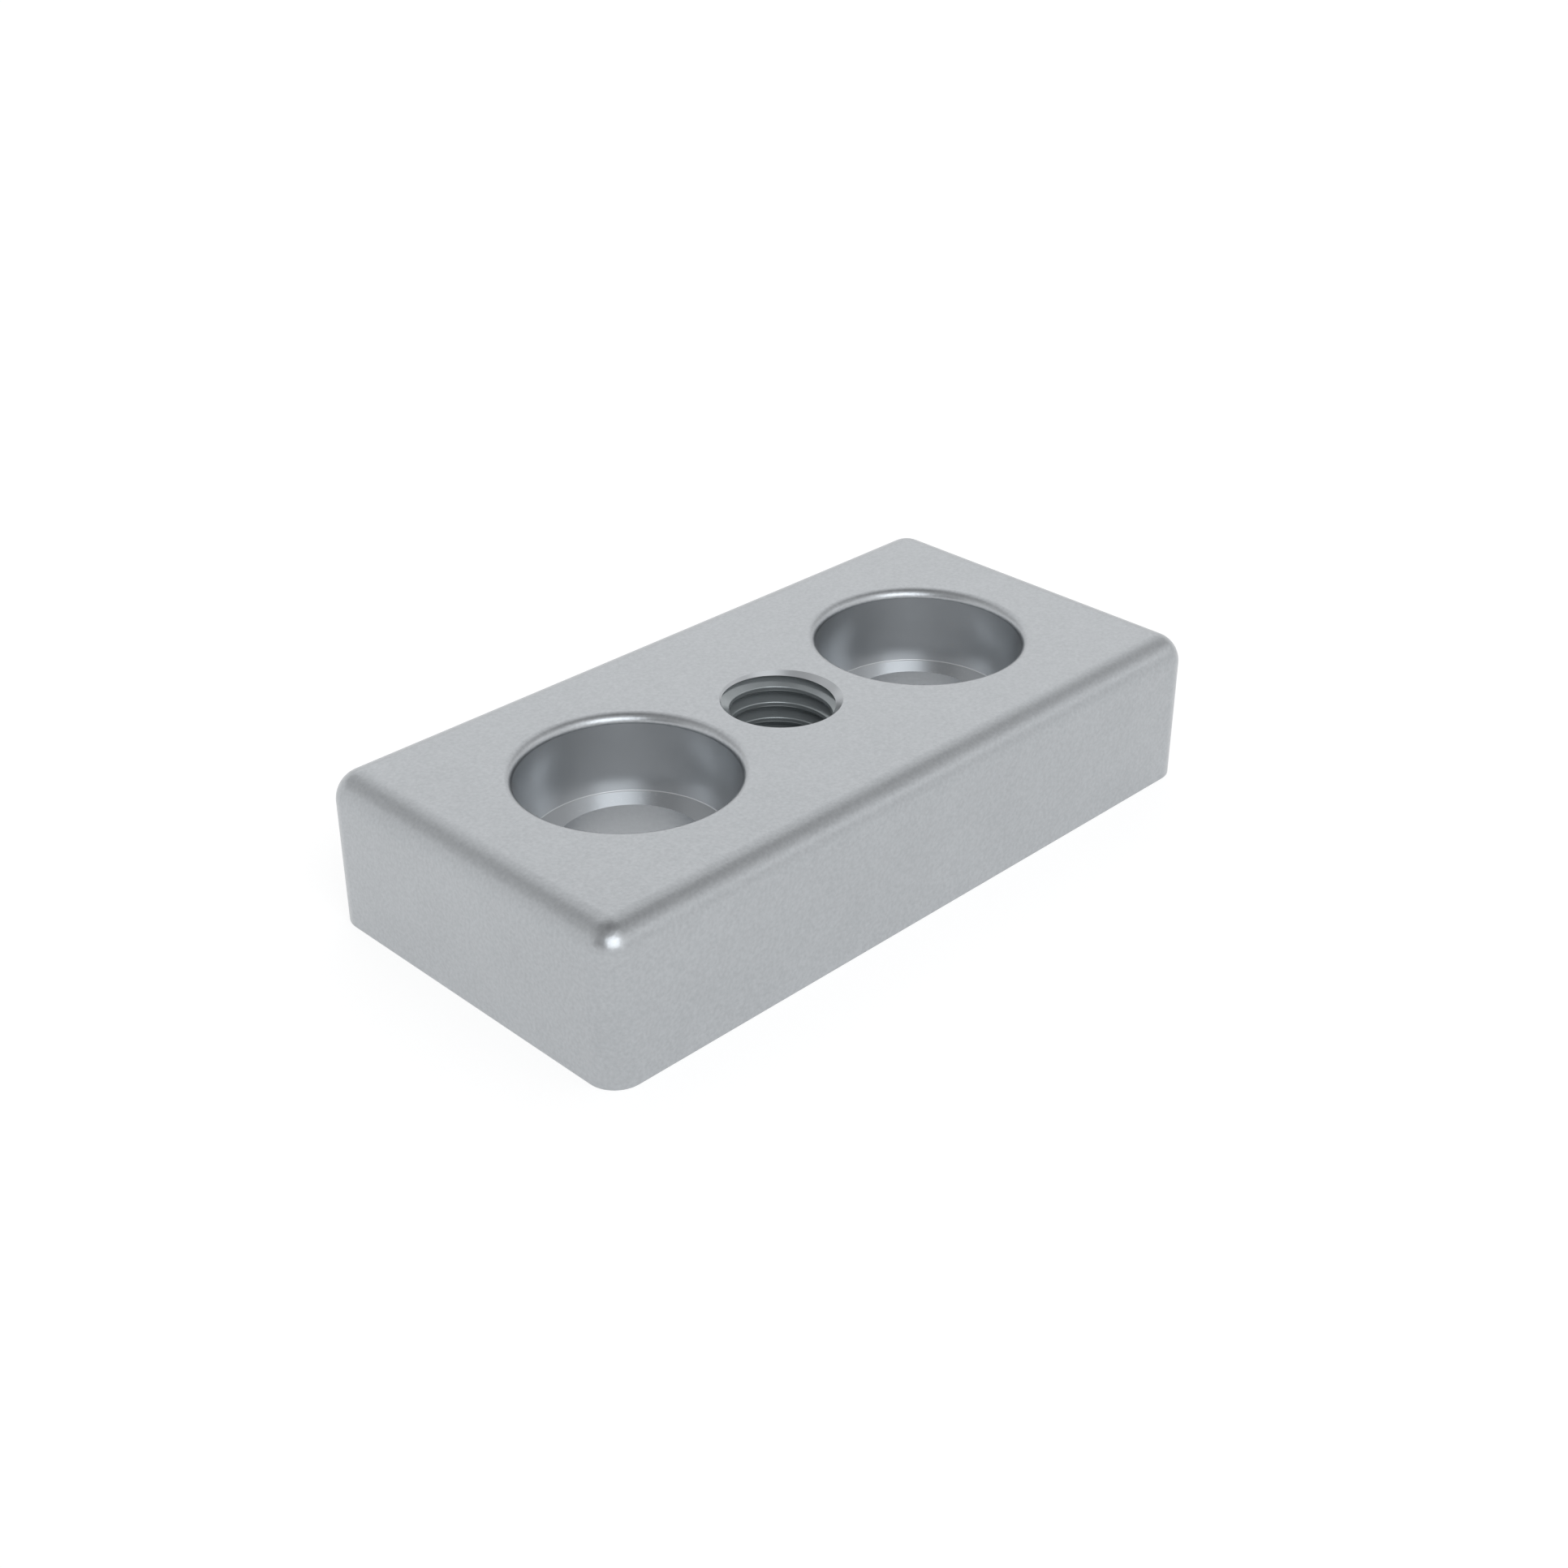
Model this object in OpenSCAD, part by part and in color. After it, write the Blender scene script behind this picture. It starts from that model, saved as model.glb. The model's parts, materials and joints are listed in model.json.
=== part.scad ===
// Base plate for the end of a slotted aluminium profile: one cast piece.
// Two low-head screws clamp it to the profile through the counterbored holes,
// and a levelling foot or a castor screws into the threaded hole between them.
// The origin is in the middle of the flat underside, and +Z points out of the counterbores.

/* [Plate] */
// Length of the plate, along X
plate_length = 80; // [76:1:160]
// Width of the plate, along Y
plate_width = 40; // [32:1:80]
// Thickness of the plate, along Z
plate_thickness = 16; // [13:0.5:30]
// Radius of the four upright corners
corner_radius = 3; // [1:0.25:8]
// Radius of the rounding along the top edge
edge_radius = 3; // [0.5:0.25:5]

/* [Screw holes] */
// Distance between the two screw holes
hole_pitch = 40; // [36:0.5:50]
// Diameter of the screw holes
screw_hole_diameter = 14.5; // [6:0.25:18]
// Diameter of the cast counterbores at their floor, where the screw heads sit
counterbore_diameter = 20; // [18:0.25:23]
// Depth of the counterbores below the top face
counterbore_depth = 8; // [3:0.25:10]
// Angle by which the cast wall of a counterbore leans out towards its mouth
counterbore_draft = 5; // [0:0.5:8]
// Radius of the rounding around the mouth of a counterbore
mouth_radius = 1; // [0.25:0.05:1.5]
// Radius of the fillet around the floor of a counterbore
floor_radius = 0.1; // [0.05:0.05:1]

/* [Threaded hole] */
// Nominal diameter of the thread
thread_diameter = 12; // [6:0.5:14]
// Pitch of the thread
thread_pitch = 1.75; // [0.5:0.25:2]
// Gap between the thread and the mouth of its countersinks
countersink_margin = 0.05; // [0:0.05:0.3]
// Full angle of the countersinks
countersink_angle = 90; // [60:5:120]

/* [Hidden] */
$fn = 96;

// How far a cutting shape stands out of the face that it cuts
overcut = 1;
// How far the straight wall of a counterbore runs into the roundings at its two ends
wall_overlap = 0.0005;
// Height of the full triangle of a metric thread
thread_triangle = thread_pitch * sqrt(3) / 2;
// Diameter over the crests of the inner thread, five eighths of the triangle in on each side
thread_core_diameter = thread_diameter - 2 * thread_triangle * 5 / 8;
countersink_mouth = thread_diameter / 2 + countersink_margin;
countersink_depth = (countersink_mouth - thread_core_diameter / 2) / tan(countersink_angle / 2);

counterbore_floor = plate_thickness - counterbore_depth;
// Radius at which the drafted wall would meet the top face without its rounding
counterbore_mouth = counterbore_diameter / 2 + counterbore_depth * tan(counterbore_draft);
// Direction from the drafted wall into the metal, in the half section
into_wall = [cos(counterbore_draft), -sin(counterbore_draft)];
// How far along each side a rounding of radius 1 reaches, where the drafted wall meets a level face
rounding_reach = tan(45 - counterbore_draft / 2);
// Centres of the mouth rounding and of the floor fillet, in the half section
mouth_centre = [counterbore_mouth + mouth_radius * rounding_reach, plate_thickness - mouth_radius];
fillet_centre = [counterbore_diameter / 2 - floor_radius * rounding_reach, counterbore_floor + floor_radius];

// Section of a plate edge, with the outer face at x = reach and its top corner rounded
module edge_section(reach) {
    round_x = reach - edge_radius;
    round_y = plate_thickness - edge_radius;
    square([reach, round_y]);
    intersection() {
        translate([round_x, round_y])
            circle(edge_radius);
        translate([0, round_y])
            square([reach, edge_radius]);
    }
    if (round_x > 0)
        square([round_x, plate_thickness]);
}

// Half of a straight bar with its outer top edge rounded, standing out to x = reach
module half_bar(reach, run) {
    translate([0, run / 2, 0])
        rotate([90, 0, 0])
            linear_extrude(run)
                edge_section(reach);
}

// Straight bar along Y with both long top edges rounded
module bar(width, run) {
    half_bar(width / 2, run);
    mirror([1, 0, 0])
        half_bar(width / 2, run);
}

// Moves its children to each of the four corners, with their own origin at the corner's centre
module at_corners() {
    for (side_x = [0, 1], side_y = [0, 1])
        mirror([side_x, 0, 0])
            mirror([0, side_y, 0])
                translate([plate_length / 2 - corner_radius, plate_width / 2 - corner_radius, 0])
                    children();
}

// The plate before any hole: two crossed bars, with each sharp corner turned into a round one
module blank() {
    corner_block = corner_radius + overcut;
    difference() {
        intersection() {
            bar(plate_length, plate_width);
            rotate([0, 0, 90])
                bar(plate_width, plate_length);
        }
        at_corners()
            translate([0, 0, -overcut])
                cube([corner_block, corner_block, plate_thickness + 2 * overcut]);
    }
    at_corners()
        rotate_extrude(angle = 90)
            edge_section(corner_radius);
}

// Half section of a counterbore: floor, fillet, drafted wall, rounded mouth and the space above
module counterbore_section() {
    difference() {
        union() {
            polygon([
                [0, counterbore_floor],
                [fillet_centre.x, counterbore_floor],
                fillet_centre,
                fillet_centre + (floor_radius - wall_overlap) * into_wall,
                mouth_centre - (mouth_radius - wall_overlap) * into_wall,
                mouth_centre,
                [mouth_centre.x, plate_thickness + overcut],
                [0, plate_thickness + overcut]
            ]);
            translate(fillet_centre)
                circle(floor_radius);
        }
        translate(mouth_centre)
            circle(mouth_radius);
    }
}

// Space of one screw: the counterbore for its head and the clearance hole for its shank
module screw_space() {
    rotate_extrude()
        counterbore_section();
    translate([0, 0, -overcut])
        cylinder(h = counterbore_floor + 2 * overcut, d = screw_hole_diameter);
}

// Cone that opens the threaded hole at one face, from its small end up past the face
module countersink() {
    past_mouth = countersink_mouth + overcut * tan(countersink_angle / 2);
    translate([0, 0, -countersink_depth])
        cylinder(h = countersink_depth + overcut, r1 = thread_core_diameter / 2, r2 = past_mouth);
}

// Core of the threaded hole, right through, with a countersink at each end
module threaded_hole() {
    translate([0, 0, -overcut])
        cylinder(h = plate_thickness + 2 * overcut, d = thread_core_diameter);
    translate([0, 0, plate_thickness])
        countersink();
    mirror([0, 0, 1])
        countersink();
}

module base_plate() {
    color("silver")
        difference() {
            blank();
            for (side = [-1, 1])
                translate([side * hole_pitch / 2, 0, 0])
                    screw_space();
            threaded_hole();
        }
}

base_plate();
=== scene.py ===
# The cast base plate as it looks: blasted skin, smooth screw recesses and a cut thread,
# on a plain white floor under soft studio light.
import json
from collections import namedtuple
from math import ceil, cos, pi, radians, sin, tan

import bpy
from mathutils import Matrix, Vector
from mathutils.geometry import delaunay_2d_cdt, normal as polygon_normal


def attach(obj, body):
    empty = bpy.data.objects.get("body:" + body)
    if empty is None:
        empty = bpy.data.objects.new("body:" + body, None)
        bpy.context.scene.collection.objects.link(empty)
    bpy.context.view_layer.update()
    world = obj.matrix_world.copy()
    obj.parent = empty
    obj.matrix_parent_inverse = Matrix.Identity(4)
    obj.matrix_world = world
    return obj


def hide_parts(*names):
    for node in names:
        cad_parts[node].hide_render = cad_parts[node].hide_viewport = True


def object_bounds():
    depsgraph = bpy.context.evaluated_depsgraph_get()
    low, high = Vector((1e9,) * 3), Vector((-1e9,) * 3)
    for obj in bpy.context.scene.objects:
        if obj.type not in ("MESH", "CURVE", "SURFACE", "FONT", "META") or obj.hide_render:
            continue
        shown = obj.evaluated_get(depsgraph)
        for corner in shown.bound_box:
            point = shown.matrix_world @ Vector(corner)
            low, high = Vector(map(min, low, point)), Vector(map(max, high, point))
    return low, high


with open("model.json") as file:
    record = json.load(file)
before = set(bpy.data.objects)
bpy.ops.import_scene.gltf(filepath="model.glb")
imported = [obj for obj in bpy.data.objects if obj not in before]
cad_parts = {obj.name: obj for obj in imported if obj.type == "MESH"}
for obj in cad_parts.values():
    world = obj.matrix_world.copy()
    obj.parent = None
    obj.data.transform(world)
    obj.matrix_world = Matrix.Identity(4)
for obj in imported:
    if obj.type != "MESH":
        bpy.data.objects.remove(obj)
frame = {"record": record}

cad_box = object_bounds()
MM = 0.001

# Sizes of the plate in millimetres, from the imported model
mounts = {mount["name"]: mount for mount in frame["record"]["mounts"]}
LENGTH, WIDTH, THICKNESS = ((high - low) / MM for low, high in zip(*cad_box))
THREAD_CORE_RADIUS = mounts["foot_thread"]["dims"]["r_mm"]
HOLE_PITCH = mounts["profile_screws"]["dims"]["spacing_x_mm"]
HOLE_RADIUS = mounts["profile_screws"]["dims"]["hole_r_mm"]
RECESS_FLOOR = mounts["screw_seat_left"]["pos_m"][2] / MM

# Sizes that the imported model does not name
CORNER_RADIUS = 3
EDGE_RADIUS = 3
LOWER_EDGE_RADIUS = 0.12
RECESS_RADIUS = 10
RECESS_DRAFT = radians(5)
MOUTH_RADIUS = 1
FILLET_RADIUS = 0.1

# Right-hand thread with flat crests and roots and 60 degree flanks. CREST_EDGE is the bevel
# of a crest, and CREST_DEPTH how far the top of one lies below the top face at CREST_AZIMUTH.
THREAD_PITCH = 1.75
THREAD_RADIUS = 6
THREAD_MARGIN = 0.05
FLANK_ANGLE = radians(60)
CREST_WIDTH = THREAD_PITCH / 4
ROOT_WIDTH = THREAD_PITCH / 8
CREST_EDGE = 0.10
CREST_DEPTH = 1.41
CREST_AZIMUTH = radians(45)
COUNTERSINK_SLOPE = tan(radians(45))
COUNTERSINK_RADIUS = THREAD_RADIUS + THREAD_MARGIN

# Mesh fineness: parts of each straight side, of each rounding and of each full circle
SIDE_PARTS = 20
ROUND_PARTS = 16
FILLET_PARTS = 4
WALL_PARTS = 8
RECESS_COLUMNS = 144
THREAD_COLUMNS = 192
COVE_COLUMNS = 144

# Points closer than this in millimetres are one point
SNAP = 1e-4

# Material zones of the plate, in the order of its material slots
SKIN, BORE, WALL, SEAT, CUT, CONE = range(6)

# Dark and light colour that each surface varies between
SKIN_COLOURS = ((0.375, 0.391, 0.407), (0.475, 0.494, 0.513))
BORE_COLOURS = ((0.47, 0.489, 0.508), (0.51, 0.53, 0.55))
WALL_COLOURS = ((0.60, 0.616, 0.632), (0.64, 0.657, 0.674))
SEAT_COLOURS = ((0.46, 0.474, 0.488), (0.50, 0.514, 0.528))
CUT_COLOURS = ((0.318, 0.345, 0.356), (0.359, 0.39, 0.402))
TURNED_COLOURS = ((0.47, 0.488, 0.506), (0.52, 0.540, 0.560))
SCUFF_COLOUR = (0.62, 0.62, 0.62)

# Roughness of each finish, as its mean or as its lowest and highest value
SKIN_ROUGHNESS = 0.29
BORE_ROUGHNESS = 0.42
WALL_ROUGHNESS = 0.295
SEAT_ROUGHNESS = 0.285
ROUGHNESS_SWING = 0.01
SCUFF_ROUGHNESS = 0.08
CUT_ROUGHNESS = (0.14, 0.18)
TURNED_ROUGHNESS = (0.285, 0.305)

# How bare the metal is, where 1 has no film on it
WALL_BARENESS = 1.0
SEAT_BARENESS = 0.95
CUT_BARENESS = 0.5
TURNED_BARENESS = 0.9

# Sizes of the grains of each noise, and depths of each relief, in millimetres
GRAIN_SIZE = 0.33
GRAIN_DEPTH = 0.013
PIT_SIZE = 0.9
PIT_DEPTH = 0.004
CAST_CLOUD_SIZE = 7.0
FINE_SIZE = 0.5
FINE_DEPTH = 0.001
SCUFF_SIZE = 0.8
SCUFF_DEPTH = 0.001
PATCH_SIZE = 6.0
RECESS_CLOUD_SIZE = 5.0
TOOL_LINE_SIZE = 2.0
TOOL_LINE_DEPTH = 0.003
TOOL_LINE_STRETCH = 30
SPOKE_SIZE = 0.5
CUT_CLOUD_SIZE = 2.0
RING_SIZE = 0.12
RING_DEPTH = 0.002
TURNED_CLOUD_SIZE = 1.2

# Spans of noise values: nearly all of a soft noise, nearly all of the grain, and where
# scuffs and the patches that hold them fade in
NOISE_SPAN = (0.3, 0.7)
GRAIN_SPAN = (0.25, 0.75)
SCUFF_SPAN = (0.56, 0.70)
PATCH_SPAN = (0.54, 0.68)
# Share of the cast skin's tone that its clouds and its grain have
CLOUD_SHARE = 0.4
GRAIN_SHARE = 0.6

# Level of the surround at each elevation in degrees, where 1 looks white. The cove's rim
# hides it up to about 20 degrees. This list and the next are the rounded output of a program,
# a least-squares fit to the brightness of the photo's faces. After that, the levels were raised
# and four of the cards were cut off at -20 degrees.
SURROUND = [(0, 0.40), (20, 0.56), (34, 0.73), (50, 0.63), (62, 0.43), (75, 0.48), (90, 0.26)]
# Soft cards of the surround: azimuth, half width, lowest and highest elevation, softness, level
CARDS = [
    (49, 28, -20, 52, 15, 1.27),
    (52, 40, 36, 70, 16, 0.94),
    (322, 14, -20, 32, 16, 1.41),
    (155, 25, -20, 29, 16, 1.14),
    (200, 25, -20, 49, 16, 0.39),
    (264, 33, -4, 70, 16, 1.18),
]
# Key lamp: azimuth, elevation, distance, width and height in metres, level, colour. It started
# from the same fit and was then changed.
KEY = (240, 39, 3.0, 2.3, 1.6, 1.6, (0.96, 1.0, 1.03))

# White studio cove: radius of its floor, its bend and its height in metres, and its levels
COVE_RADIUS = 2.0
COVE_BEND = 0.4
COVE_HEIGHT = 0.9
COVE_LIT = 0.35
COVE_GLOW = 0.76

# Camera of the photograph in millimetres. It looks 30 degrees down and along azimuth 45, and
# its distance and aim come from a fit to the plate's outline.
CAMERA_PLACE = (-132.863, -133.236, 114.950)
CAMERA_AIM = (-1.876, -2.249, 8.0)
CAMERA_LENS = 50
CAMERA_SENSOR = 36
CAMERA_NEAR = 10

UP = (0, 0, 1)
DOWN = (0, 0, -1)


def between(start, end, parts):
    """Evenly spaced numbers from start to end, both included."""
    return [start + (end - start) * step / parts for step in range(parts + 1)]


def around(columns):
    """Angles of a full circle, with the last one closing it."""
    return between(0, 2 * pi, columns)


class Shell:
    """A closed surface made patch by patch, where points at one place are one vertex."""

    def __init__(self):
        self.points = []
        self.index_at = {}
        self.faces = []
        self.normals = []
        self.zones = []

    def vertex(self, point):
        """Number of the vertex at a point, which is added if it is new."""
        key = tuple(round(value / SNAP) for value in point)
        if key not in self.index_at:
            self.index_at[key] = len(self.points)
            self.points.append(Vector(point))
        return self.index_at[key]

    def face(self, corners, zone):
        """Adds a face through (point, normal) corners, turned to the side of its normals."""
        kept = {}
        for point, normal in corners:
            kept.setdefault(self.vertex(point), Vector(normal))
        if len(kept) < 3:
            return
        order = list(kept)
        facing = polygon_normal([self.points[index] for index in order])
        if facing.dot(sum(kept.values(), Vector())) < 0:
            order.reverse()
        self.faces.append(order)
        self.normals.extend(kept[index].normalized() for index in order)
        self.zones.append(zone)

    def grid(self, rows, zone):
        """Adds the faces between neighbouring rows of (point, normal) corners."""
        for row, next_row in zip(rows, rows[1:]):
            for near, far, next_far, next_near in zip(row, row[1:], next_row[1:], next_row):
                self.face((near, far, next_far, next_near), zone)

    def cap(self, outline, holes, height, normal, zone):
        """Adds a level face inside the outline, left open at each (centre x, rim) hole."""
        loops = [outline] + [rim for _, rim in holes]
        points = [point for loop in loops for point in loop]
        edges = []
        for loop in loops:
            first = len(edges)
            edges += [(first + i, first + (i + 1) % len(loop)) for i in range(len(loop))]
        flat = [Vector(point) for point in points]
        _, _, triangles, sources, _, _ = delaunay_2d_cdt(flat, edges, [], 1, SNAP)
        for triangle in triangles:
            corners = [points[sources[index][0]] for index in triangle]
            middle = sum((Vector(corner) for corner in corners), Vector((0, 0))) / 3
            if not any(inside_hole(middle, hole) for hole in holes):
                self.face([((x, y, height), normal) for x, y in corners], zone)

    def make(self, name, materials):
        """Turns the surface into a Blender object in metres, with its own normals."""
        mesh = bpy.data.meshes.new(name)
        mesh.from_pydata([point * MM for point in self.points], [], self.faces)
        for material in materials:
            mesh.materials.append(material)
        for polygon, zone in zip(mesh.polygons, self.zones):
            polygon.material_index = zone
            polygon.use_smooth = True
        mesh.normals_split_custom_set(self.normals)
        piece = bpy.data.objects.new(name, mesh)
        bpy.context.scene.collection.objects.link(piece)
        return piece


def inside_hole(point, hole):
    """True if the point lies within the rim of a (centre x, rim) hole."""
    centre_x, rim = hole
    radius = rim[0][0] - centre_x
    return (point - Vector((centre_x, 0))).length < radius


def ring(centre_x, radius, columns):
    """Points of a circle about (centre_x, 0), starting on its +X side."""
    return [(centre_x + radius * cos(angle), radius * sin(angle)) for angle in around(columns)[:-1]]


def stations():
    """Places round the plate as (x, y, angle): the corner's centre line and the way out."""
    inner_x = LENGTH / 2 - CORNER_RADIUS
    inner_y = WIDTH / 2 - CORNER_RADIUS
    centres = [(inner_x, inner_y), (-inner_x, inner_y), (-inner_x, -inner_y), (inner_x, -inner_y)]
    places = []
    for quarter, (x, y) in enumerate(centres):
        start = quarter * pi / 2
        places += [(x, y, angle) for angle in between(start, start + pi / 2, ROUND_PARTS)]
        next_x, next_y = centres[(quarter + 1) % len(centres)]
        run = zip(between(x, next_x, SIDE_PARTS), between(y, next_y, SIDE_PARTS))
        places += [(px, py, start + pi / 2) for px, py in list(run)[1:-1]]
    return places + places[:1]


def edge_profile():
    """Section of the plate's edge as (reach, height, tilt), from the underside to the top face."""
    lower = [
        (CORNER_RADIUS - LOWER_EDGE_RADIUS * (1 - cos(tilt)), LOWER_EDGE_RADIUS * (1 + sin(tilt)), tilt)
        for tilt in between(-pi / 2, 0, FILLET_PARTS)
    ]
    round_start = THICKNESS - EDGE_RADIUS
    side = [(CORNER_RADIUS, height, 0) for height in between(LOWER_EDGE_RADIUS, round_start, WALL_PARTS)]
    upper = [
        (CORNER_RADIUS - EDGE_RADIUS * (1 - cos(tilt)), round_start + EDGE_RADIUS * sin(tilt), tilt)
        for tilt in between(0, pi / 2, ROUND_PARTS)
    ]
    return lower + side[1:-1] + upper


def edge_corner(place, section):
    """Corner of the edge surface at one place round the plate and one point of the section."""
    x, y, angle = place
    reach, height, tilt = section
    point = (x + reach * cos(angle), y + reach * sin(angle), height)
    return point, (cos(angle) * cos(tilt), sin(angle) * cos(tilt), sin(tilt))


def outline(places, section):
    """The loop that one point of the section draws round the plate, each point once."""
    loop = []
    for place in places[:-1]:
        (x, y, _), _ = edge_corner(place, section)
        if not loop or (Vector((x, y)) - Vector(loop[-1])).length > SNAP:
            loop.append((x, y))
    return loop


def recess_profile():
    """Mouth, wall and floor of the recess, each a list of (radius, height, tilt of the surface)."""
    lean = pi / 2 - RECESS_DRAFT
    reach = tan(lean / 2)
    depth = THICKNESS - RECESS_FLOOR
    mouth_centre = RECESS_RADIUS + depth * tan(RECESS_DRAFT) + MOUTH_RADIUS * reach
    fillet_centre = RECESS_RADIUS - FILLET_RADIUS * reach
    mouth = [
        (mouth_centre - MOUTH_RADIUS * sin(tilt), THICKNESS - MOUTH_RADIUS * (1 - cos(tilt)), tilt)
        for tilt in between(0, lean, ROUND_PARTS)
    ]
    fillet = [
        (fillet_centre + FILLET_RADIUS * sin(tilt), RECESS_FLOOR + FILLET_RADIUS * (1 - cos(tilt)), tilt)
        for tilt in between(lean, 0, FILLET_PARTS)
    ]
    radii = between(mouth[-1][0], fillet[0][0], WALL_PARTS)
    heights = between(mouth[-1][1], fillet[0][1], WALL_PARTS)
    wall = [(radius, height, lean) for radius, height in zip(radii, heights)]
    floor = [(radius, RECESS_FLOOR, 0) for radius in between(fillet_centre, HOLE_RADIUS, FILLET_PARTS)]
    return mouth, mouth[-1:] + wall[1:-1] + fillet, floor


def hole_profile():
    """Wall of a screw hole, as a list of (radius, height, tilt of the surface)."""
    return [(HOLE_RADIUS, height, pi / 2) for height in between(RECESS_FLOOR, 0, WALL_PARTS)]


def revolve(shell, centre_x, profile, zone):
    """Turns a profile about the upright axis at centre_x, with its surface facing the axis."""
    rows = []
    for angle in around(RECESS_COLUMNS):
        rows.append([
            (
                (centre_x + radius * cos(angle), radius * sin(angle), height),
                (-sin(tilt) * cos(angle), -sin(tilt) * sin(angle), cos(tilt)),
            )
            for radius, height, tilt in profile
        ])
    shell.grid(rows, zone)


# Corner of the thread's section, with the normals of the stretches below and above it. Each
# normal is (outward, upward), so a surface that faces the axis has a negative first number.
Knot = namedtuple("Knot", "height radius below above")
# Point of the thread's section; outside is how far the thread is from the axis beyond the cone
ThreadPoint = namedtuple("ThreadPoint", "height radius normal outside")


def thread_knots():
    """One turn of the thread's section upwards, from the lower edge of a crest."""
    flank_rise_share = cos(FLANK_ANGLE)
    flank_reach_share = sin(FLANK_ANGLE)
    level = (-1, 0)
    facing_up = (-flank_rise_share, flank_reach_share)
    facing_down = (-flank_rise_share, -flank_reach_share)
    flank_rise = (THREAD_PITCH - CREST_WIDTH - ROOT_WIDTH) / 2
    edge_rise = CREST_EDGE * flank_rise_share
    edge_radius = THREAD_CORE_RADIUS + CREST_EDGE * flank_reach_share
    root = CREST_WIDTH + flank_rise
    return [
        Knot(-edge_rise, edge_radius, facing_down, facing_down),
        Knot(CREST_EDGE, THREAD_CORE_RADIUS, level, level),
        Knot(CREST_WIDTH - CREST_EDGE, THREAD_CORE_RADIUS, level, level),
        Knot(CREST_WIDTH + edge_rise, edge_radius, facing_up, facing_up),
        Knot(root, THREAD_RADIUS, facing_up, level),
        Knot(root + ROOT_WIDTH, THREAD_RADIUS, level, facing_down),
    ]


def cone_radius(height):
    """Radius of the nearer countersink at a height."""
    return COUNTERSINK_RADIUS - min(height, THICKNESS - height) * COUNTERSINK_SLOPE


def section_point(lower, upper, height):
    """Point of the thread's section at a height between two knots, kept out of the cone."""
    share = (height - lower.height) / (upper.height - lower.height)
    radius = lower.radius + (upper.radius - lower.radius) * share
    normal = Vector(lower.above).lerp(Vector(upper.below), share)
    cone = cone_radius(height)
    return ThreadPoint(height, max(radius, cone), normal, radius - cone)


def thread_column(angle, knots, turns):
    """Section of the threaded hole at one angle: a list of stretches, bottom to top.

    Each stretch is three points, where the middle one is the crossing from thread to
    countersink, or the upper end where there is none."""
    crest_top = THICKNESS - CREST_DEPTH + THREAD_PITCH * (angle - CREST_AZIMUTH) / (2 * pi)
    start = crest_top - CREST_WIDTH
    placed = []
    for turn in turns:
        for knot in knots:
            placed.append(knot._replace(height=start + turn * THREAD_PITCH + knot.height))
    stretches = []
    for lower, upper in zip(placed, placed[1:]):
        low = section_point(lower, upper, min(max(lower.height, 0), THICKNESS))
        high = section_point(lower, upper, min(max(upper.height, 0), THICKNESS))
        middle = high
        if low.outside * high.outside < 0:
            share = low.outside / (low.outside - high.outside)
            middle = section_point(lower, upper, low.height + (high.height - low.height) * share)
        stretches.append((low, middle, high))
    return stretches


def threaded_hole(shell):
    """Helical wall of the threaded hole, opened by a countersink at each face."""
    knots = thread_knots()
    turns = range(-ceil(THICKNESS / THREAD_PITCH) - 1, 2)
    angles = around(THREAD_COLUMNS)
    columns = [thread_column(angle, knots, turns) for angle in angles]
    for angle, next_angle, column, next_column in zip(angles, angles[1:], columns, columns[1:]):
        for stretch, next_stretch in zip(column, next_column):
            for part in (0, 1):
                corners = [
                    (angle, stretch[part]),
                    (next_angle, next_stretch[part]),
                    (next_angle, next_stretch[part + 1]),
                    (angle, stretch[part + 1]),
                ]
                on_cone = sum(point.outside for _, point in corners) < 0
                zone = CONE if on_cone else CUT
                shell.face([thread_corner(*corner, on_cone) for corner in corners], zone)


def thread_corner(angle, point, on_cone):
    """Corner of the threaded hole at one angle, with its normal turned with the helix."""
    outward, upward = point.normal
    sideways = -upward * THREAD_PITCH / (2 * pi * point.radius)
    if on_cone:
        outward = -1
        sideways = 0
        upward = COUNTERSINK_SLOPE if point.height > THICKNESS / 2 else -COUNTERSINK_SLOPE
    normal = (
        outward * cos(angle) - sideways * sin(angle),
        outward * sin(angle) + sideways * cos(angle),
        upward,
    )
    return (point.radius * cos(angle), point.radius * sin(angle), point.height), normal


def plate_shell():
    """The whole plate as one closed surface."""
    shell = Shell()
    places = stations()
    profile = edge_profile()
    shell.grid([[edge_corner(place, section) for section in profile] for place in places], SKIN)
    mouth, wall, seat = recess_profile()
    screw_axes = (-HOLE_PITCH / 2, HOLE_PITCH / 2)
    for axis in screw_axes:
        revolve(shell, axis, mouth, SKIN)
        revolve(shell, axis, wall, WALL)
        revolve(shell, axis, seat, SEAT)
        revolve(shell, axis, hole_profile(), BORE)
    threaded_hole(shell)
    foot_hole = (0, ring(0, COUNTERSINK_RADIUS, THREAD_COLUMNS))
    mouths = [(axis, ring(axis, mouth[0][0], RECESS_COLUMNS)) for axis in screw_axes]
    ends = [(axis, ring(axis, HOLE_RADIUS, RECESS_COLUMNS)) for axis in screw_axes]
    shell.cap(outline(places, profile[-1]), mouths + [foot_hole], THICKNESS, UP, SKIN)
    shell.cap(outline(places, profile[0]), ends + [foot_hole], 0, DOWN, SKIN)
    return shell


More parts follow.
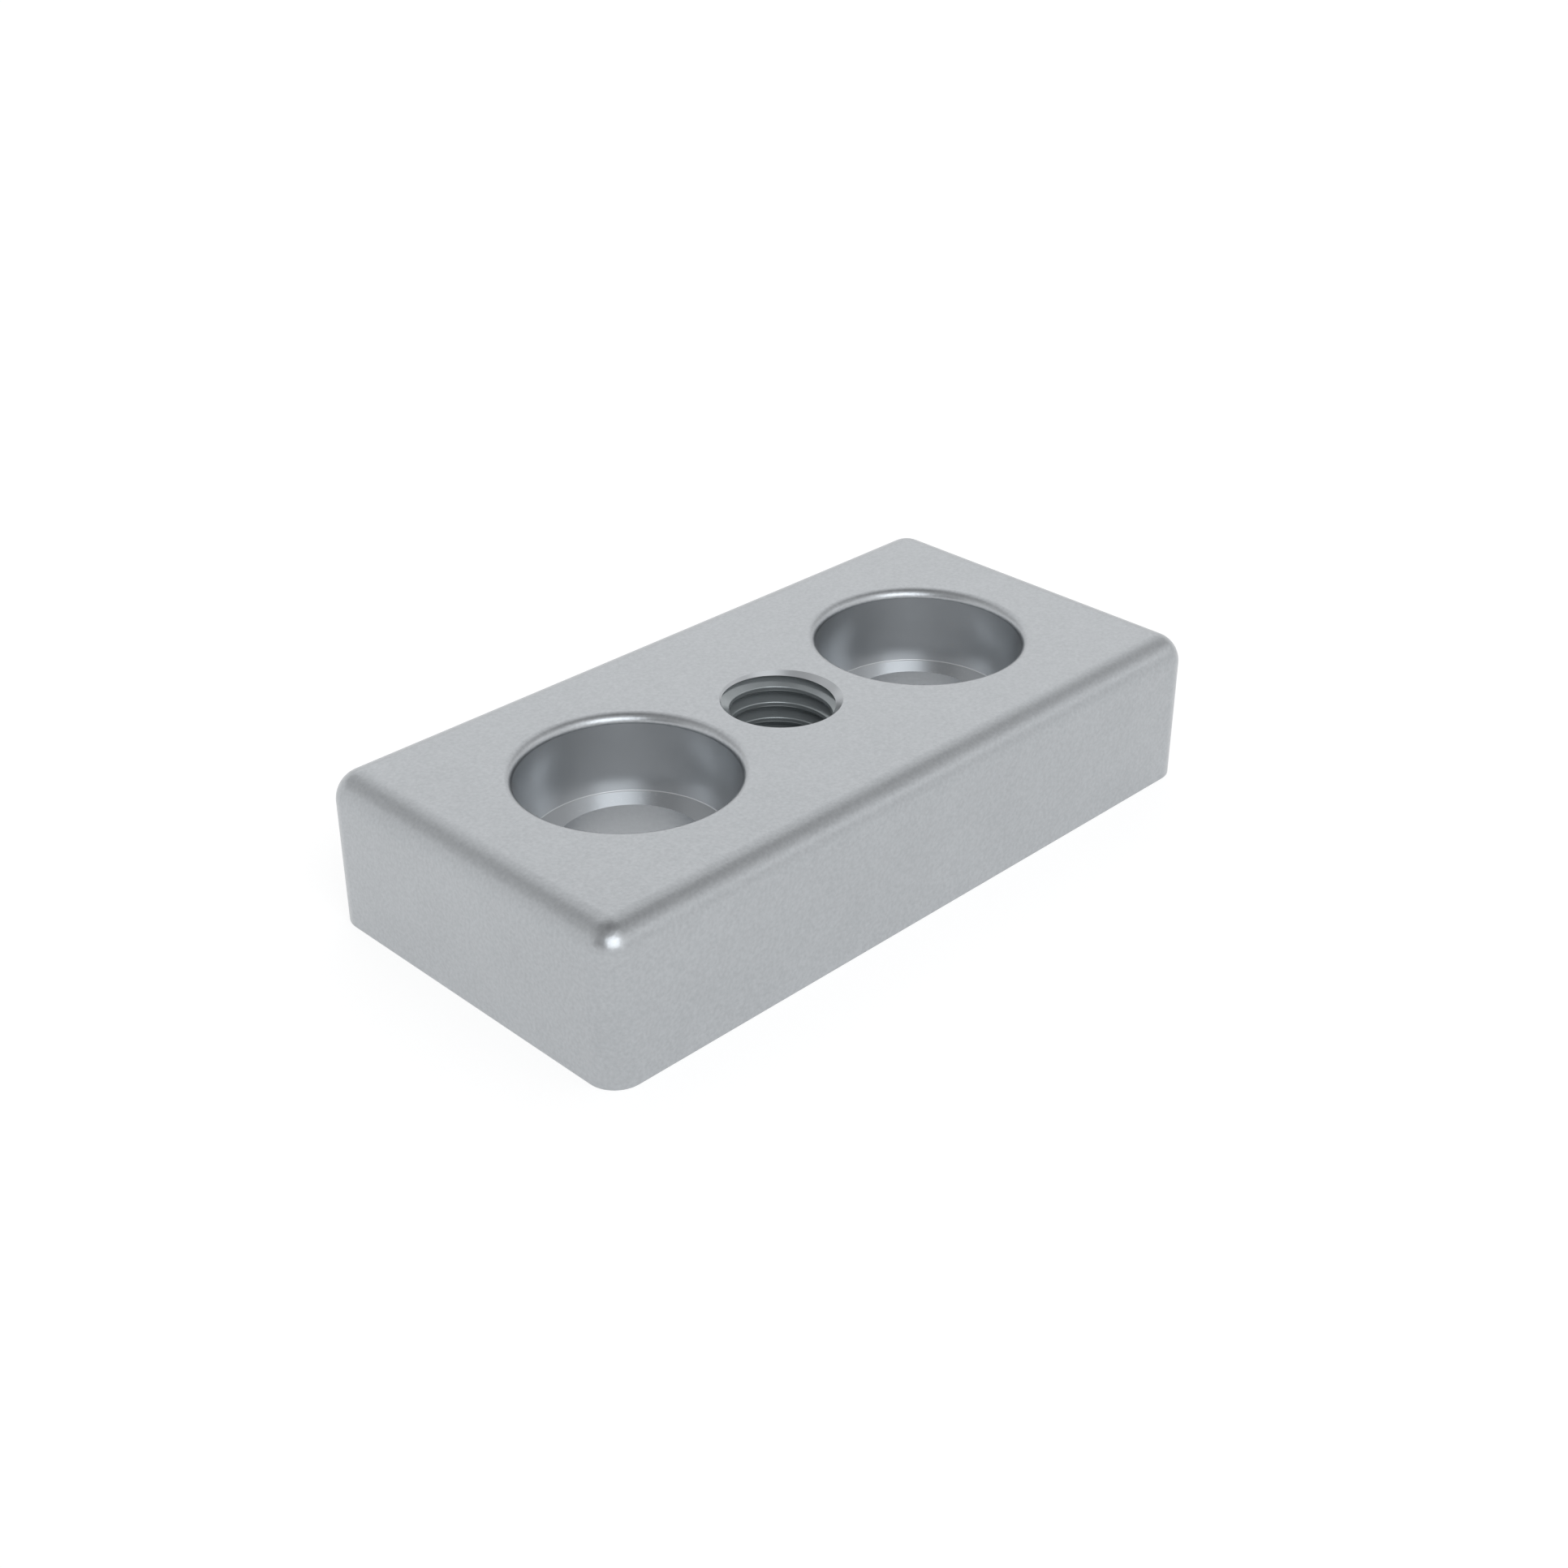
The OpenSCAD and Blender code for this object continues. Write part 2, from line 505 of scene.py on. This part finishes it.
class Nodes:
    """Short ways to add and link the nodes of one material or world."""

    def __init__(self, owner):
        owner.use_nodes = True
        self.tree = owner.node_tree
        self.tree.nodes.clear()

    def add(self, kind, inputs=(), **settings):
        """Adds a node, with each input set to a value or linked to another node's output."""
        node = self.tree.nodes.new(kind)
        for key, value in settings.items():
            setattr(node, key, value)
        for key, value in dict(inputs).items():
            if isinstance(value, bpy.types.NodeSocket):
                self.tree.links.new(value, node.inputs[key])
            else:
                node.inputs[key].default_value = value
        return node

    def math(self, operation, *values):
        """Result of a Math node."""
        return self.add("ShaderNodeMath", dict(enumerate(values)), operation=operation).outputs[0]

    def vector(self, operation, *values):
        """Vector Math node, which has a Vector and a Value output."""
        return self.add("ShaderNodeVectorMath", dict(enumerate(values)), operation=operation)

    def noise(self, place, size, detail=2.0, roughness=0.5, distortion=0.0):
        """Noise from 0 to 1 whose grains are about size millimetres across."""
        inputs = {
            "Vector": place,
            "Scale": 1 / (size * MM),
            "Detail": detail,
            "Roughness": roughness,
            "Distortion": distortion,
        }
        return self.add("ShaderNodeTexNoise", inputs).outputs["Fac"]

    def remap(self, value, low, high, new_low, new_high):
        """Value moved from the span low to high to the span new_low to new_high."""
        inputs = {
            "Value": value,
            "From Min": low,
            "From Max": high,
            "To Min": new_low,
            "To Max": new_high,
        }
        return self.add("ShaderNodeMapRange", inputs).outputs["Result"]

    def fade(self, value, start, end):
        """0 where the value is at start, 1 at end, and smooth between them."""
        inputs = {"Value": value, "From Min": start, "From Max": end}
        return self.add("ShaderNodeMapRange", inputs, interpolation_type="SMOOTHSTEP").outputs["Result"]

    def blend(self, share, first, second):
        """Colour between two colours."""
        return self.add("ShaderNodeMix", {0: share, 6: first, 7: second}, data_type="RGBA").outputs[2]

    def tint(self, share, colours):
        """Colour between a dark and a light colour."""
        dark, light = colours
        return self.blend(share, (*dark, 1), (*light, 1))

    def bump(self, height, depth, under=None):
        """Bump of the given depth in millimetres, on top of another bump."""
        inputs = {"Height": height, "Distance": depth * MM, "Strength": 1.0}
        if under is not None:
            inputs["Normal"] = under
        return self.add("ShaderNodeBump", inputs).outputs["Normal"]

    def ramp(self, value, stops):
        """Grey level from a list of (position, level) stops."""
        node = self.add("ShaderNodeValToRGB", {"Fac": value})
        elements = node.color_ramp.elements
        while len(elements) < len(stops):
            elements.new(0.5)
        for element, (position, level) in zip(elements, stops):
            element.position = position
            element.color = (level, level, level, 1)
        return node.outputs["Color"]


def metal(nodes, colour, roughness, normal, bareness=1.0):
    """Finishes a material as metal, fully bare at 1 and with a dull film below that."""
    inputs = {"Base Color": colour, "Roughness": roughness, "Metallic": bareness, "Normal": normal}
    shader = nodes.add("ShaderNodeBsdfPrincipled", inputs)
    nodes.add("ShaderNodeOutputMaterial", {"Surface": shader.outputs[0]})


def cast_metal(name, colours, roughness):
    """Fine blasted casting: satin, with a soft grain and a faint cloudiness."""
    material = bpy.data.materials.new(name)
    nodes = Nodes(material)
    place = nodes.add("ShaderNodeTexCoord").outputs["Object"]
    grain = nodes.noise(place, GRAIN_SIZE, detail=1.5)
    pits = nodes.noise(place, PIT_SIZE, detail=1.0)
    cloud = nodes.noise(place, CAST_CLOUD_SIZE, detail=3.0)
    grain_tone = nodes.remap(grain, *GRAIN_SPAN, 0.0, GRAIN_SHARE)
    colour = nodes.tint(nodes.math("MULTIPLY_ADD", cloud, CLOUD_SHARE, grain_tone), colours)
    gloss = nodes.remap(cloud, *NOISE_SPAN, roughness - ROUGHNESS_SWING, roughness + ROUGHNESS_SWING)
    metal(nodes, colour, gloss, nodes.bump(grain, GRAIN_DEPTH, nodes.bump(pits, PIT_DEPTH)))
    return material


def recess_metal(name, colours, roughness, bareness):
    """Smoother metal of the screw recesses, with faint scuffs from the mould."""
    material = bpy.data.materials.new(name)
    nodes = Nodes(material)
    place = nodes.add("ShaderNodeTexCoord").outputs["Object"]
    cloud = nodes.noise(place, RECESS_CLOUD_SIZE, detail=3.0)
    scuffs = nodes.noise(place, SCUFF_SIZE, detail=4.0, roughness=0.7, distortion=1.5)
    scuffs = nodes.fade(scuffs, *SCUFF_SPAN)
    patches = nodes.fade(nodes.noise(place, PATCH_SIZE, detail=1.0), *PATCH_SPAN)
    scuffs = nodes.math("MULTIPLY", scuffs, patches)
    colour = nodes.blend(scuffs, nodes.tint(cloud, colours), (*SCUFF_COLOUR, 1))
    gloss = nodes.remap(cloud, *NOISE_SPAN, roughness - ROUGHNESS_SWING, roughness + ROUGHNESS_SWING)
    gloss = nodes.math("ADD", gloss, nodes.math("MULTIPLY", scuffs, SCUFF_ROUGHNESS))
    fine = nodes.noise(place, FINE_SIZE, detail=1.0)
    metal(nodes, colour, gloss, nodes.bump(scuffs, SCUFF_DEPTH, nodes.bump(fine, FINE_DEPTH)), bareness)
    return material


def cut_metal():
    """Thread as the tap leaves it, with fine tool lines along its turns."""
    material = bpy.data.materials.new("cut_metal")
    nodes = Nodes(material)
    place = nodes.add("ShaderNodeTexCoord").outputs["Object"]
    part = nodes.add("ShaderNodeSeparateXYZ", {"Vector": place}).outputs
    angle = nodes.math("ARCTAN2", part["Y"], part["X"])
    rise = nodes.math("DIVIDE", part["Z"], THREAD_PITCH * MM)
    turn = nodes.math("FRACT", nodes.math("SUBTRACT", rise, nodes.math("DIVIDE", angle, 2 * pi)))
    across = nodes.math("MULTIPLY", turn, TOOL_LINE_STRETCH * MM)
    lines_at = nodes.add("ShaderNodeCombineXYZ", {"X": part["X"], "Y": part["Y"], "Z": across})
    lines = nodes.noise(lines_at.outputs["Vector"], TOOL_LINE_SIZE, detail=2.0)
    flat = nodes.vector("MULTIPLY", place, (1, 1, 0)).outputs["Vector"]
    spokes_at = nodes.vector("SCALE", nodes.vector("NORMALIZE", flat).outputs["Vector"])
    spokes_at.inputs["Scale"].default_value = THREAD_RADIUS * MM
    spokes = nodes.noise(spokes_at.outputs["Vector"], SPOKE_SIZE, detail=2.0)
    colour = nodes.tint(nodes.noise(place, CUT_CLOUD_SIZE, detail=3.0), CUT_COLOURS)
    gloss = nodes.remap(spokes, *NOISE_SPAN, *CUT_ROUGHNESS)
    metal(nodes, colour, gloss, nodes.bump(lines, TOOL_LINE_DEPTH), CUT_BARENESS)
    return material


def turned_metal():
    """Countersinks as the cutter leaves them, with fine rings round the axis."""
    material = bpy.data.materials.new("turned_metal")
    nodes = Nodes(material)
    place = nodes.add("ShaderNodeTexCoord").outputs["Object"]
    flat = nodes.vector("MULTIPLY", place, (1, 1, 0)).outputs["Vector"]
    reach = nodes.vector("LENGTH", flat).outputs["Value"]
    rings_at = nodes.add("ShaderNodeCombineXYZ", {"X": reach}).outputs["Vector"]
    rings = nodes.noise(rings_at, RING_SIZE, detail=2.0)
    cloud = nodes.noise(place, TURNED_CLOUD_SIZE, detail=3.0)
    gloss = nodes.remap(cloud, *NOISE_SPAN, *TURNED_ROUGHNESS)
    relief = nodes.bump(rings, RING_DEPTH)
    metal(nodes, nodes.tint(cloud, TURNED_COLOURS), gloss, relief, TURNED_BARENESS)
    return material


def direction(azimuth, elevation):
    """Unit vector towards an azimuth in degrees, counted from +X to +Y, and an elevation."""
    turn = radians(azimuth)
    tilt = radians(elevation)
    return Vector((cos(turn) * cos(tilt), sin(turn) * cos(tilt), sin(tilt)))


def card_share(nodes, level_way, height, azimuth, half_width, low, high, soft):
    """1 in the middle of a soft card of the surround and 0 outside it."""
    across = nodes.vector("DOT_PRODUCT", level_way, direction(azimuth, 0)).outputs["Value"]
    inner = cos(radians(max(half_width - soft, 0)))
    outer = cos(radians(half_width + soft))
    sides = nodes.fade(across, outer, inner)
    bottom = nodes.fade(height, sin(radians(low - soft)), sin(radians(low + soft)))
    top = nodes.fade(height, sin(radians(high + soft)), sin(radians(high - soft)))
    return nodes.math("MULTIPLY", sides, nodes.math("MULTIPLY", bottom, top))


def studio_world():
    """Pale surround with soft cards, which the metal picks up as light and dark bands."""
    world = bpy.data.worlds.new("studio")
    bpy.context.scene.world = world
    nodes = Nodes(world)
    look = nodes.add("ShaderNodeTexCoord").outputs["Generated"]
    height = nodes.add("ShaderNodeSeparateXYZ", {"Vector": look}).outputs["Z"]
    level_way = nodes.vector("MULTIPLY", look, (1, 1, 0)).outputs["Vector"]
    level_way = nodes.vector("NORMALIZE", level_way).outputs["Vector"]
    stops = [((1 + sin(radians(elevation))) / 2, level) for elevation, level in SURROUND]
    light = nodes.ramp(nodes.remap(height, -1, 1, 0, 1), stops)
    for *place, level in CARDS:
        share = card_share(nodes, level_way, height, *place)
        light = nodes.blend(share, light, (level, level, level, 1))
    background = nodes.add("ShaderNodeBackground", {"Color": light})
    nodes.add("ShaderNodeOutputWorld", {"Surface": background.outputs[0]})


def key_lamp():
    """Large rectangular lamp that faces the plate; a level of 1 looks white."""
    azimuth, elevation, distance, width, height, level, colour = KEY
    lamp = bpy.data.lights.new("key_lamp", "AREA")
    lamp.shape = "RECTANGLE"
    lamp.size = width
    lamp.size_y = height
    lamp.energy = level * pi * width * height
    lamp.color = colour
    holder = bpy.data.objects.new("key_lamp", lamp)
    way = direction(azimuth, elevation)
    holder.location = way * distance
    holder.rotation_euler = way.to_track_quat("Z", "Y").to_euler()
    holder.visible_camera = False
    bpy.context.scene.collection.objects.link(holder)


def cove_white():
    """White that shows as itself and also takes light and shadow."""
    material = bpy.data.materials.new("cove_white")
    nodes = Nodes(material)
    paths = nodes.add("ShaderNodeLightPath").outputs
    shows = nodes.math("MAXIMUM", paths["Is Camera Ray"], paths["Is Glossy Ray"])
    shows = nodes.math("MAXIMUM", shows, paths["Is Transmission Ray"])
    lit = nodes.add("ShaderNodeBsdfDiffuse", {"Color": (COVE_LIT, COVE_LIT, COVE_LIT, 1)})
    glow = nodes.add("ShaderNodeEmission", {"Strength": nodes.math("MULTIPLY", shows, COVE_GLOW)})
    both = nodes.add("ShaderNodeAddShader", {0: lit.outputs[0], 1: glow.outputs[0]})
    nodes.add("ShaderNodeOutputMaterial", {"Surface": both.outputs[0]})
    material.cycles.emission_sampling = "NONE"
    return material


def white_cove():
    """Round white floor that curves up into a backdrop all round."""
    bend = [
        (COVE_RADIUS + COVE_BEND * sin(tilt), COVE_BEND * (1 - cos(tilt)))
        for tilt in between(0, pi / 2, ROUND_PARTS)
    ]
    profile = [(0, 0)] + bend + [(COVE_RADIUS + COVE_BEND, COVE_HEIGHT)]
    points = []
    faces = []
    columns = around(COVE_COLUMNS)[:-1]
    for radius, height in profile:
        points += [(radius * cos(angle), radius * sin(angle), height) for angle in columns]
    count = len(columns)
    for row in range(len(profile) - 1):
        for column in range(count):
            near = row * count + column
            far = row * count + (column + 1) % count
            faces.append((near, near + count, far + count, far))
    mesh = bpy.data.meshes.new("cove")
    mesh.from_pydata(points, [], faces)
    mesh.shade_smooth()
    mesh.materials.append(cove_white())
    cove = bpy.data.objects.new("cove", mesh)
    bpy.context.scene.collection.objects.link(cove)


def studio_camera():
    """Camera at the place from which the photograph was taken."""
    camera = bpy.data.cameras.new("camera")
    camera.lens = CAMERA_LENS
    camera.sensor_width = CAMERA_SENSOR
    camera.clip_start = CAMERA_NEAR * MM
    holder = bpy.data.objects.new("camera", camera)
    holder.location = Vector(CAMERA_PLACE) * MM
    way = Vector(CAMERA_PLACE) - Vector(CAMERA_AIM)
    holder.rotation_euler = way.to_track_quat("Z", "Y").to_euler()
    bpy.context.scene.collection.objects.link(holder)
    bpy.context.scene.camera = holder


finishes = [
    cast_metal("cast_skin", SKIN_COLOURS, SKIN_ROUGHNESS),
    cast_metal("cast_bore", BORE_COLOURS, BORE_ROUGHNESS),
    recess_metal("recess_wall", WALL_COLOURS, WALL_ROUGHNESS, WALL_BARENESS),
    recess_metal("recess_seat", SEAT_COLOURS, SEAT_ROUGHNESS, SEAT_BARENESS),
    cut_metal(),
    turned_metal(),
]
plate = plate_shell().make("plate_dressed", finishes)
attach(plate, "root")
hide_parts("base_plate")

studio_camera()
studio_world()
key_lamp()
white_cove()
bpy.context.scene.view_settings.view_transform = "Standard"
